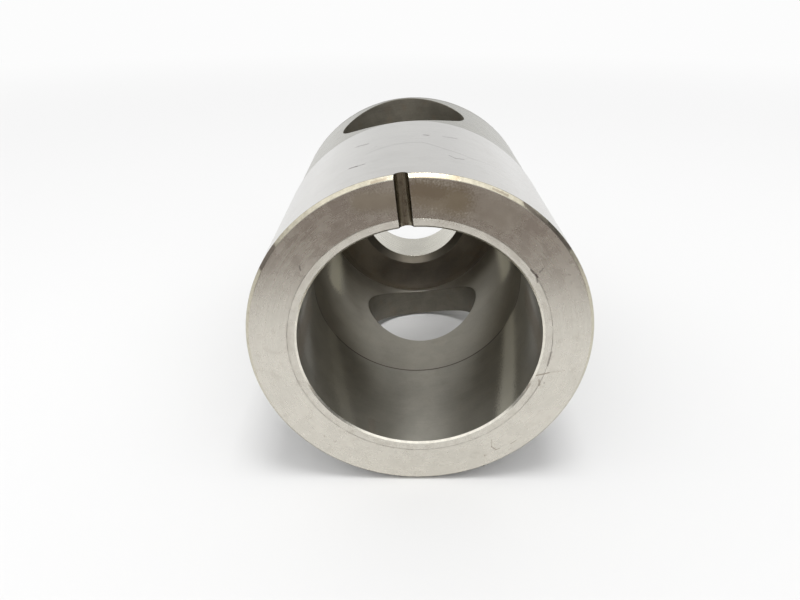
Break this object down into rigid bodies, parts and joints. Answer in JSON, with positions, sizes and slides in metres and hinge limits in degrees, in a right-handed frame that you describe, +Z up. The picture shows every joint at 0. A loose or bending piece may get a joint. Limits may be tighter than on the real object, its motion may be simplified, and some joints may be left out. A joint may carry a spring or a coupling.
{
  "type": "rigid sleeve coupling",
  "caption": "Stepped steel sleeve coupling with a pressed-in liner bush, a round cross hole, an end wall with a shaft hole, and an oil groove across its front face.",
  "frame": {"origin": "on the sleeve's axis, at half its length", "axes": "+Y along the axis from the front face to the rear hub, +Z up with the groove on top, +X to the right seen from the front"},
  "size_m": [0.0564, 0.079, 0.0564],
  "materials": {
    "sleeve_steel": "ground and turned, satin",
    "liner_steel": "honed, satin"
  },
  "bodies": {
    "root": {"sleeve_body": "sleeve_steel", "liner_bush": "liner_steel"}
  },
  "joints": []
}
